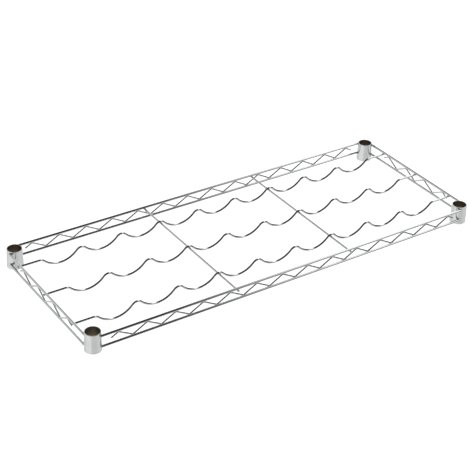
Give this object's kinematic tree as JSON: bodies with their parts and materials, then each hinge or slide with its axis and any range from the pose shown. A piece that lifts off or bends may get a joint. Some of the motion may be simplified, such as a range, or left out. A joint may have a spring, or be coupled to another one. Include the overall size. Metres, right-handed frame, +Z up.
{
  "type": "wine rack",
  "caption": "Open wire shelf with tapered corner collars for posts, trussed rails, and wave-bent wires that cradle bottles lying on their sides.",
  "frame": {"origin": "under the middle of the shelf, level with the bottom rims of the corner collars", "axes": "+X along the shelf's length to the right, +Y towards the rear, +Z up along the posts"},
  "size_m": [0.9194, 0.3592, 0.04],
  "materials": {
    "collar": "bright chrome plate over steel tube, faintly uneven",
    "rail": "bright chrome plate over drawn steel wire",
    "cradle": "bright chrome plate over drawn steel wire",
    "wire": "bright chrome plate over drawn steel wire"
  },
  "bodies": {
    "root": {"collar_front_left": "collar", "collar_front_right": "collar", "collar_rear_left": "collar", "collar_rear_right": "collar", "top_rail_front": "rail", "top_rail_rear": "rail", "top_rail_left": "rail", "top_rail_right": "rail", "bottom_rail_front": "rail", "bottom_rail_rear": "rail", "bottom_rail_left": "rail", "bottom_rail_right": "rail", "truss_wire_front": "wire", "truss_wire_rear": "wire", "truss_wire_left": "wire", "truss_wire_right": "wire", "cross_wire_left": "wire", "cross_wire_right": "wire", "cradle_wire_front": "cradle", "cradle_wire_middle": "cradle", "cradle_wire_rear": "cradle"}
  },
  "joints": []
}
